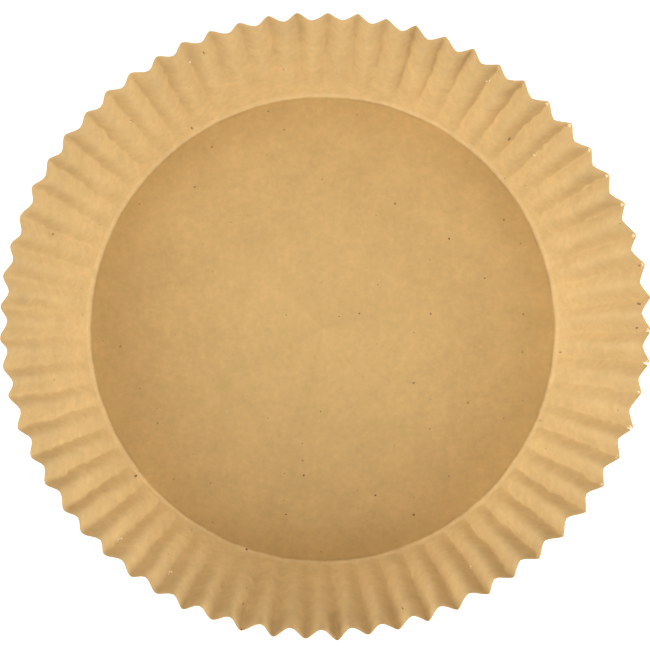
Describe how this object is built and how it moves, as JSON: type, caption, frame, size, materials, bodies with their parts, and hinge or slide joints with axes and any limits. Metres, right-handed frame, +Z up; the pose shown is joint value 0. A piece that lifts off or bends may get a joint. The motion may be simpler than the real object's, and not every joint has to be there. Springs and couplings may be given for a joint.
{
  "type": "air fryer paper liner",
  "caption": "Round baking-paper liner with a flat floor and a fluted wall that leans out to an open, wavy top edge.",
  "frame": {"origin": "middle of the underside of the floor, on the surface that the liner stands on", "axes": "+Z up through the open top; +X towards the side where the flutes stand open widest, which is the right of the picture"},
  "size_m": [0.2046, 0.1959, 0.0464],
  "materials": {
    "baking_paper": "matte"
  },
  "bodies": {
    "root": {"paper_liner": "baking_paper"}
  },
  "joints": []
}
